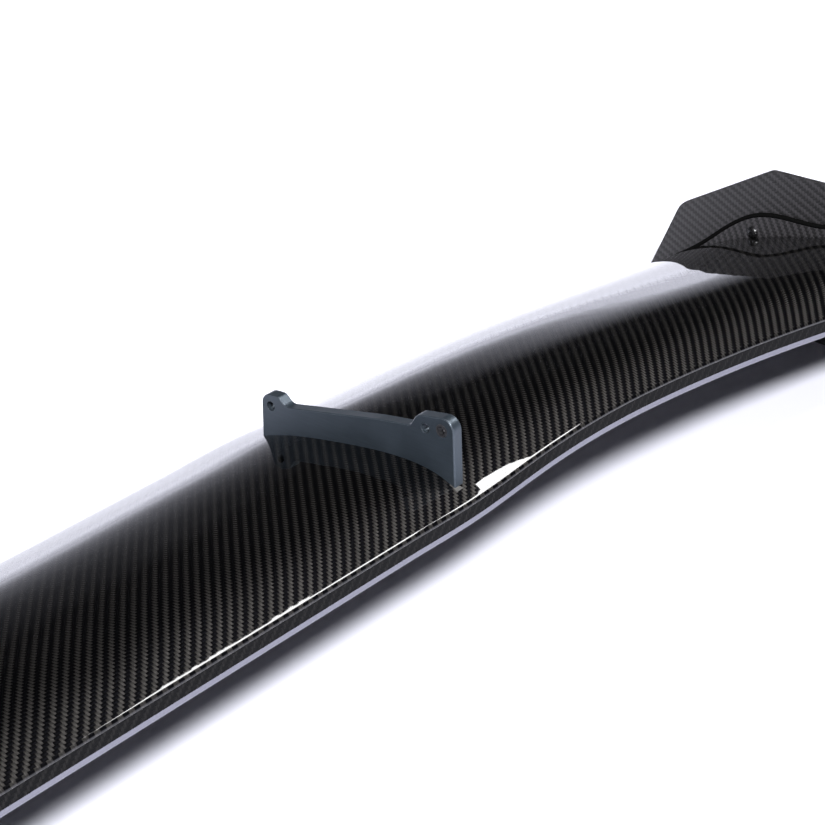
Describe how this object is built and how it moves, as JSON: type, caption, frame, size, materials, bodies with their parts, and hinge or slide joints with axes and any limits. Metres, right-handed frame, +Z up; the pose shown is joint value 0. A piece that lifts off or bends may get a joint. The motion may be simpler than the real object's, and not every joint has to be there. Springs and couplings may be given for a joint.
{
  "type": "racing rear wing",
  "caption": "Carbon fibre rear wing with machined mounting brackets and bolted end plates, lying suction side up.",
  "frame": {"origin": "middle of the footprint, on the surface that the lower edges of the end plates rest on", "axes": "+X along the span to the right end plate, +Y towards the leading edge, +Z up; the wing lies suction side up as on a bench, and is turned over about X when it is fitted to a car"},
  "size_m": [1.712, 0.2904, 0.146],
  "materials": {
    "gloss_twill": "clear-coated 2x2 twill carbon fibre",
    "satin_twill": "satin 2x2 twill carbon fibre",
    "bare_carbon": "uncoated carbon fibre laminate",
    "dense_core": "dense structural foam",
    "anodised_plate": "satin dark slate anodised",
    "bond": "cured adhesive bead",
    "black_steel": "black oxide",
    "steel": "zinc plated",
    "turned_aluminium": "turned"
  },
  "bodies": {
    "root": {"bracket_bond_line_left": "bond", "bracket_bond_line_right": "bond", "bracket_hard_point_left": "dense_core", "bracket_hard_point_right": "dense_core", "bracket_screw_sleeves_left": "turned_aluminium", "bracket_screw_sleeves_right": "turned_aluminium", "bracket_screw_washers_left": "turned_aluminium", "bracket_screw_washers_right": "turned_aluminium", "bracket_screws_left": "black_steel", "bracket_screws_right": "black_steel", "bracket_thread_insert_left": "steel", "bracket_thread_insert_right": "steel", "center_rib": "bare_carbon", "end_plate_flange_left": "satin_twill", "end_plate_flange_right": "satin_twill", "end_plate_left": "satin_twill", "end_plate_nuts_left": "steel", "end_plate_nuts_right": "steel", "end_plate_right": "satin_twill", "end_plate_screws_left": "black_steel", "end_plate_screws_right": "black_steel", "end_plate_washers_left": "steel", "end_plate_washers_right": "steel", "front_spar": "bare_carbon", "leading_edge_joint_strip": "bare_carbon", "mounting_bracket_left": "anodised_plate", "mounting_bracket_right": "anodised_plate", "outer_rib_left": "bare_carbon", "outer_rib_right": "bare_carbon", "pressure_skin": "gloss_twill", "rear_spar": "bare_carbon", "suction_skin": "gloss_twill", "tip_rib_left": "dense_core", "tip_rib_right": "dense_core", "trailing_edge_lip": "gloss_twill"}
  },
  "joints": []
}
